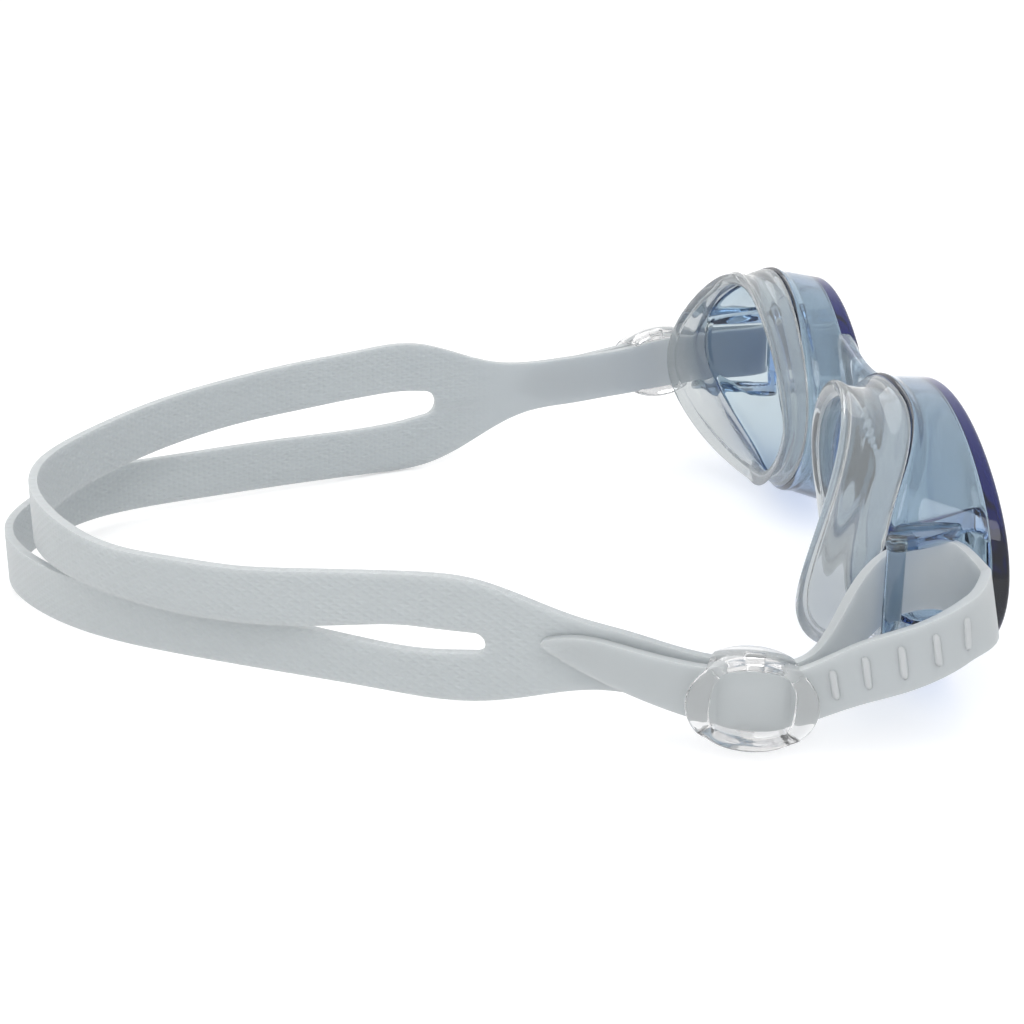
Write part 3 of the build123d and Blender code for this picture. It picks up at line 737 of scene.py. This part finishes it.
def side_heights(side, depth, on_tail):
    """The four heights across the strap at each station: top, split top, split bottom, bottom.

    The tail's tip is a half ellipse, and so is the split's end.
    """
    top = np.where(on_tail, edge_at(TAIL_TOP[side], depth), edge_at(TOP_EDGE[side], depth))
    low = np.where(on_tail, edge_at(TAIL_BOTTOM[side], depth), edge_at(BOTTOM_EDGE[side], depth))
    past = np.clip((depth - depth[0] + TIP_LENGTH) / TIP_LENGTH, 0, 0.998)
    rounding = np.where(on_tail, 1 - np.sqrt(1 - past ** 2), 0.0) * (top - low) / 2
    top, low = top - rounding, low + rounding
    upper, lower = edge_at(SPLIT_TOP[side], depth), edge_at(SPLIT_BOTTOM[side], depth)
    radius = (SPLIT_TOP[side][0][1] - SPLIT_BOTTOM[side][0][1]) / 2
    before = SPLIT_TOP[side][0][0] - depth
    share = np.sqrt(np.clip(1 - (before / radius) ** 2, 0, 1))
    opening = np.where(before > 0, share, 1.0) * (upper - lower) / 2
    opening = np.where(on_tail | (before > radius), 0.0, opening)
    settled = smooth((depth - SPLIT_SETTLES[0]) / SPLIT_SETTLES[1]) * ~on_tail
    middle = (upper + lower) / 2 * settled + (top + low) / 2 * (1 - settled)
    return top, middle + opening, middle - opening, low


def swell(plan, height, side, on_tail):
    """Outward push of the tail in the buckle's window: SWELL (1 - a²)^0.8 (1 - b²)^0.8.

    a and b are the places along and up from the buckle's middle, in half sizes of the swell.
    """
    _, depth, level, _ = BUCKLE_SEAT[side]
    along = (plan[:, 1, None] - depth) / SWELL_HALF_LENGTH
    up = (height - level) / SWELL_HALF_HEIGHT
    rise = np.clip(1 - along ** 2, 0, 1) ** 0.8 * np.clip(1 - up ** 2, 0, 1) ** 0.8
    return SWELL * rise * on_tail[:, None]


def sheet_points(plan, top, low, lean, middle):
    """Columns of one strand, top to bottom, evenly spaced between its edges.

    They are pushed along the plan's normal by lean times the height above the strap's middle.
    """
    share = np.linspace(0, 1, STRAND_COLUMNS)[None, :]
    height = top[:, None] + (low - top)[:, None] * share
    tangent = tangents(plan)
    normal = np.stack([-tangent[:, 1], tangent[:, 0]], axis=1)
    offset = lean[:, None] * (height - middle[:, None])
    flat = plan[:, None, :] + normal[:, None, :] * offset[..., None]
    return np.concatenate([flat, height[..., None]], axis=-1)


def strap_strand(back_points, tables, rows, sides):
    """Points and running length of one strand, from the right tail's tip to the left one's.

    Tables are its two edges, and rows their places among the four heights. Sides are the stations,
    tail flags and heights of the right and the left. Round the back the edges pass from the right
    tables to the left ones by smoothstep across the head.
    """
    (right, right_tail, right_heights), (left, left_tail, left_heights) = sides
    back = back_plan(back_points, SHEET_SPACING)
    plan = np.concatenate([right, back[1:-1], left[::-1]])
    share = smooth((back[:, 0] + BACK_BLEND) / (2 * BACK_BLEND))
    edges = []
    for table, row in zip(tables, rows):
        from_right, from_left = (edge_at(table[side], back[:, 1]) for side in ("right", "left"))
        back_edge = from_right * (1 - share) + from_left * share
        edges.append(np.concatenate([right_heights[row], back_edge[1:-1], left_heights[row][::-1]]))
    lean = FRONT_LEAN * smooth((FRONT_END - plan[:, 1]) / FRONT_FADE) * (plan[:, 0] < 0)
    middle = np.concatenate([
        (right_heights[0] + right_heights[3]) / 2, 0 * back[1:-1, 0],
        ((left_heights[0] + left_heights[3]) / 2)[::-1],
    ])
    points = sheet_points(plan, *edges, lean, middle)
    for side, tail, mine in (("right", right_tail, slice(0, len(right))),
                             ("left", left_tail[::-1], slice(len(plan) - len(left), None))):
        points[mine, :, 0] += SIGN[side] * swell(plan[mine], points[mine, :, 2], side, tail)
    return points, chord_knots(plan)


def strand_grids(strands, split_closed):
    """Vertex numbers of both strands; the lower one takes the upper's last column as its first
    wherever the split is still closed."""
    upper, lower = (
        np.arange(points.shape[0] * points.shape[1]).reshape(points.shape[:2]) for points, _ in strands
    )
    lower += upper.size
    right, left = split_closed
    lower[:len(right), 0] = np.where(right, upper[:len(right), -1], lower[:len(right), 0])
    lower[-len(left):, 0] = np.where(left[::-1], upper[-len(left):, -1], lower[-len(left):, 0])
    return upper, lower


def drop_loose(mesh):
    """Deletes the vertices that the lower strand doesn't use, since it shares the upper's."""
    work = bmesh.new()
    work.from_mesh(mesh)
    bmesh.ops.delete(work, geom=[v for v in work.verts if not v.link_faces], context="VERTS")
    bmesh.ops.recalc_face_normals(work, faces=work.faces)
    work.to_mesh(mesh)
    work.free()


def head_strap(material):
    """The whole strap as one sheet of two strands that share their middle column up to the split.

    A uv map holds millimetres along the strap and millimetres of height, for the grip pattern.
    """
    sides = []
    for side in ("right", "left"):
        stations, on_tail = side_plan(side, SHEET_SPACING)
        sides.append((stations, on_tail, side_heights(side, stations[:, 1], on_tail)))
    strands = [
        strap_strand(UPPER_BACK, (TOP_EDGE, SPLIT_TOP), (0, 1), sides),
        strap_strand(LOWER_BACK, (SPLIT_BOTTOM, BOTTOM_EDGE), (2, 3), sides),
    ]
    split_closed = [np.abs(heights[1] - heights[2]) < 1e-6 for _, _, heights in sides]
    faces = np.concatenate([
        np.stack([grid[:-1, :-1], grid[:-1, 1:], grid[1:, 1:], grid[1:, :-1]], axis=-1).reshape(-1, 4)
        for grid in strand_grids(strands, split_closed)
    ])
    points = np.concatenate([strand.reshape(-1, 3) for strand, _ in strands])
    run = np.concatenate([
        np.column_stack([np.repeat(length, STRAND_COLUMNS), strand[..., 2].ravel()])
        for strand, length in strands
    ])
    mesh = bpy.data.meshes.new("head_strap")
    mesh.from_pydata((points * MM).tolist(), [], faces.tolist())
    layer = mesh.uv_layers.new(name="run")
    corner = np.empty(len(mesh.loops), int)
    mesh.loops.foreach_get("vertex_index", corner)
    layer.data.foreach_set("uv", run[corner].ravel())
    grip = mesh.attributes.new("grip", "FLOAT", "POINT")
    shown = smooth((points[:, 1] - GRIP_START) / GRIP_FADE)
    grip.data.foreach_set("value", shown.astype(np.float32))
    drop_loose(mesh)
    mesh.shade_smooth()
    mesh.materials.append(material)
    piece = bpy.data.objects.new("head_strap", mesh)
    bpy.context.scene.collection.objects.link(piece)
    solid = piece.modifiers.new("thickness", "SOLIDIFY")
    solid.thickness, solid.offset, solid.use_even_offset = STRAP_THICK * MM, 0.0, True
    edge = piece.modifiers.new("moulded_edge", "BEVEL")
    edge.width, edge.segments = STRAP_ROUND * MM, 3
    edge.limit_method, edge.angle_limit = "ANGLE", radians(55)
    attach(piece, "strap")
    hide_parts("strap")
    return piece


# ---- grip ribs on the tails, mm ------------------------------------------------------------------
RIB_FIRST, RIB_PITCH = 7.9, 4.35            # along the tail, from the loop's front
RIB_STOP = 9.0                              # least distance in depth from the buckle's middle
RIB_INSET = 2.1                             # from the tail's edges to a rib's ends
RIB_LEAN = 0.45                             # how far a rib's top lies behind its middle
RIB_WIDTH, RIB_DEEP, RIB_ROUND, RIB_SUNK = 1.1, 0.8, 0.35, 0.12


def grip_ribs(side, material):
    """Raised bars on the tail's outer face, one every few millimetres, that the buckle bites on.

    A bar is a rounded section carried up the face, that shrinks at its ends by √(1 - share⁸).
    """
    plan, on_tail = side_plan(side, 0.25)
    plan = plan[on_tail][::-1]
    run, tangent = chord_knots(plan), tangents(plan)
    section = rounded_loop(RIB_WIDTH, RIB_DEEP, RIB_ROUND, arc=4)
    ribs = []
    for distance in np.arange(RIB_FIRST, run[-1], RIB_PITCH):
        k = int(np.searchsorted(run, distance))
        here, ahead = plan[k], tangent[k]
        if here[1] > BUCKLE_SEAT[side][1] - RIB_STOP:
            break
        outward = np.array([ahead[1], -ahead[0]])
        outward *= np.sign(outward[0] * SIGN[side])
        top = edge_at(TAIL_TOP[side], here[1:2])[0] - RIB_INSET
        low = edge_at(TAIL_BOTTOM[side], here[1:2])[0] + RIB_INSET
        rings = []
        for share in np.linspace(-1, 1, 15):
            fade = np.sqrt(max(0.02, 1 - abs(share) ** 8))
            centre = here + outward * (STRAP_THICK / 2 - RIB_SUNK) + ahead * RIB_LEAN * share
            flat = centre + section[:, :1] * ahead * fade + section[:, 1:] * outward * fade
            rings.append(at_height(flat, (top + low) / 2 + (top - low) / 2 * share))
        ribs.append(closed_rings(np.array(rings)))
    points, faces = joined_shells(*ribs)
    return make_piece(f"tail_ribs_{side}", points, faces, material, "strap")


# ---- buckles -------------------------------------------------------------------------------------
BUCKLE_LENGTH, BUCKLE_HEIGHT = 18.3, 14.1
BUCKLE_WINDOW_LENGTH, BUCKLE_WINDOW_HEIGHT = 11.6, 9.8
BUCKLE_WINDOW_POWER = 3.2                   # 2 is an ellipse, and more is squarer
BUCKLE_BACK, BUCKLE_COVER = 1.3, 1.5        # how far the rails reach back; thickness of the cover
COVER_LEVEL = LAYER_PITCH + STRAP_THICK / 2 + 0.3
RAIL_START, RAIL_FADE = 4.4, 1.3            # heights over which the cover turns into the rails
BAR_LENGTH, BAR_THICK, BAR_ROUND, BAR_REACH = 2.6, 0.9, 0.35, 5.6


def superellipse(turn, length, height, power):
    """Points (a sgn(c)|c|^(2/n), b sgn(s)|s|^(2/n)) for half sizes a and b, power n, cosine and sine."""
    c, s = np.cos(turn), np.sin(turn)
    return np.stack([
        length / 2 * np.sign(c) * np.abs(c) ** (2 / power),
        height / 2 * np.sign(s) * np.abs(s) ** (2 / power),
    ], axis=1)


def buckle_axes(side):
    """Unit vectors of a buckle: along the doubled strap, up its face, and out from the head."""
    along = np.array([SIGN[side] * RUN_SLOPE, 1, BUCKLE_SEAT[side][3]])
    along /= np.linalg.norm(along)
    outward = SIGN[side] * np.cross(along, [0, 0, 1])
    outward /= np.linalg.norm(outward)
    up = SIGN[side] * np.cross(outward, along)
    return along, up * np.sign(up[2]), outward


def strap_buckle(side, material):
    """An oval ring: thin over the strap at its two ends, tall in its rails above and below.

    The section is a rounded rectangle between the window's superellipse and the outer ellipse; its
    lower face drops from the cover's level to the back as the turn nears the rails. A bar crosses
    between the strap's two layers.
    """
    out, depth, height, _ = BUCKLE_SEAT[side]
    along, up, outward = buckle_axes(side)
    origin = np.array([SIGN[side] * (POST_SIDE + out), depth, height])
    turn = np.arange(192) / 192 * tau
    outer = superellipse(turn, BUCKLE_LENGTH, BUCKLE_HEIGHT, 2.0)
    inner = superellipse(turn, BUCKLE_WINDOW_LENGTH, BUCKLE_WINDOW_HEIGHT, BUCKLE_WINDOW_POWER)
    rail = smooth((np.abs(outer[:, 1]) - RAIL_START) / RAIL_FADE)
    low = (COVER_LEVEL + 0.05) * (1 - rail) - BUCKLE_BACK * rail
    high = COVER_LEVEL + BUCKLE_COVER
    rings = []
    for across, level in rounded_loop(2.0, 2.0, 0.75, arc=7):
        flat = inner + (outer - inner) * (across + 1) / 2
        lift = (low + high) / 2 + (high - low) / 2 * level
        rings.append(origin + flat[:, :1] * along + flat[:, 1:] * up + lift[:, None] * outward)
    ring_points = np.concatenate(rings)
    ring = ring_points, ring_faces(len(rings), len(turn), wrap=True)
    bar = rounded_loop(BAR_LENGTH, BAR_THICK, BAR_ROUND, arc=4)
    bar_rings = np.array([
        origin + bar[:, :1] * along + (LAYER_PITCH / 2 + bar[:, 1:]) * outward + level * up
        for level in np.linspace(-BAR_REACH, BAR_REACH, 12)
    ])
    points, faces = joined_shells(ring, closed_rings(bar_rings))
    return make_piece(f"strap_buckle_{side}", points, faces, material, f"buckle_{side}",
                      [f"buckle_{side}"])


# ---- floor, light and camera ---------------------------------------------------------------------
def plainly_seen(tree):
    """One for the rays that meet a backdrop as nearly white: camera, mirror and see-through rays."""
    rays = add_node(tree, "ShaderNodeLightPath").outputs
    return any_of(tree, rays["Is Camera Ray"], rays["Is Glossy Ray"], rays["Is Transmission Ray"])


def white_paper(colour, strength):
    """Pale matt paper, with a glow that only the rays that see it plainly meet."""
    material, tree = new_material("white_paper")
    amount = add_node(tree, "ShaderNodeMath", [(0, plainly_seen(tree))], {"operation": "MULTIPLY"})
    amount.inputs[1].default_value = strength
    shader = add_node(
        tree, "ShaderNodeBsdfPrincipled", [("Emission Strength", amount.outputs[0])],
        Base_Color=linear(colour), Roughness=0.9, Emission_Color=(1, 1, 1, 1),
        Specular_IOR_Level=0.0,
    )
    finish_material(tree, shader)
    return material


def studio():
    """White floor under the object, a white surround and three soft lamps."""
    bpy.ops.mesh.primitive_plane_add(size=6.0, location=(0, 0.07, cad_box[0][2] - 0.0004))
    floor = bpy.context.object
    floor.name = "floor"
    floor.data.materials.append(white_paper("#E8E8E8", 0.35))
    world = bpy.data.worlds.new("surround")
    bpy.context.scene.world = world
    world.use_nodes = True
    tree = world.node_tree
    tree.nodes.clear()
    strength = add_node(tree, "ShaderNodeMapRange", [("Value", plainly_seen(tree))],
                        To_Min=0.8, To_Max=1.0)
    shader = add_node(tree, "ShaderNodeBackground", [("Strength", strength.outputs[0])],
                      Color=(1, 1, 1, 1))
    add_node(tree, "ShaderNodeOutputWorld", [("Surface", shader.outputs[0])])
    for name, place, size, power in (
        ("key", (-0.6, -0.15, 0.95), 0.7, 3.0), ("fill", (-0.7, 0.8, 0.6), 0.8, 2.0),
        ("rim", (0.8, 0.2, 0.7), 0.6, 2.0),
    ):
        lamp = bpy.data.lights.new(name, "AREA")
        lamp.shape, lamp.size, lamp.energy = "DISK", size, power
        holder = bpy.data.objects.new(name, lamp)
        bpy.context.scene.collection.objects.link(holder)
        aim = (Vector((0, 0.05, 0)) - Vector(place)).to_track_quat("-Z", "Y")
        holder.matrix_world = Matrix.Translation(place) @ aim.to_matrix().to_4x4()


def camera():
    """The view from behind the wearer's right ear, looking forward and a little down."""
    data = bpy.data.cameras.new("view")
    data.sensor_width, data.lens = 36.0, 65.6
    data.clip_start, data.clip_end = 0.02, 20
    holder = bpy.data.objects.new("view", data)
    bpy.context.scene.collection.objects.link(holder)
    back = Vector((-0.935, 0.092, 0.342)).normalized()
    right = Vector((-0.098, -0.995, 0.0)).normalized()
    up = back.cross(right).normalized()
    turn = Matrix((right, up, back)).transposed().to_4x4()
    holder.matrix_world = Matrix.Translation(Vector((-297.0, 91.8, 98.8)) * MM) @ turn
    bpy.context.scene.camera = holder


lens_blue = tinted_polycarbonate()
seal_clear = clear_seal_rubber()
strap_frost = frosted_silicone("frosted_silicone_moulded", "#C9CED0")
# The ribs are the strap's silicone; their paler colour is a painted highlight, so that the raised bars
# read bright.
rib_frost_painted_highlight = frosted_silicone("frosted_silicone_ribs_painted_highlight", "#DADFE2")
buckle_clear = clear_polycarbonate()
bridge_blue = pale_blue_polycarbonate()

for each_side in ("left", "right"):
    lens_cup(each_side, lens_blue)
    lug(each_side, lens_blue)
    face_seal(each_side, seal_clear)
    grip_ribs(each_side, rib_frost_painted_highlight)
    strap_buckle(each_side, buckle_clear)
nose_bridge(bridge_blue)
head_strap(strap_frost)

studio()
camera()
scene = bpy.context.scene
scene.view_settings.view_transform = "Standard"
scene.cycles.max_bounces = 24
scene.cycles.transmission_bounces = 24
scene.cycles.transparent_max_bounces = 16
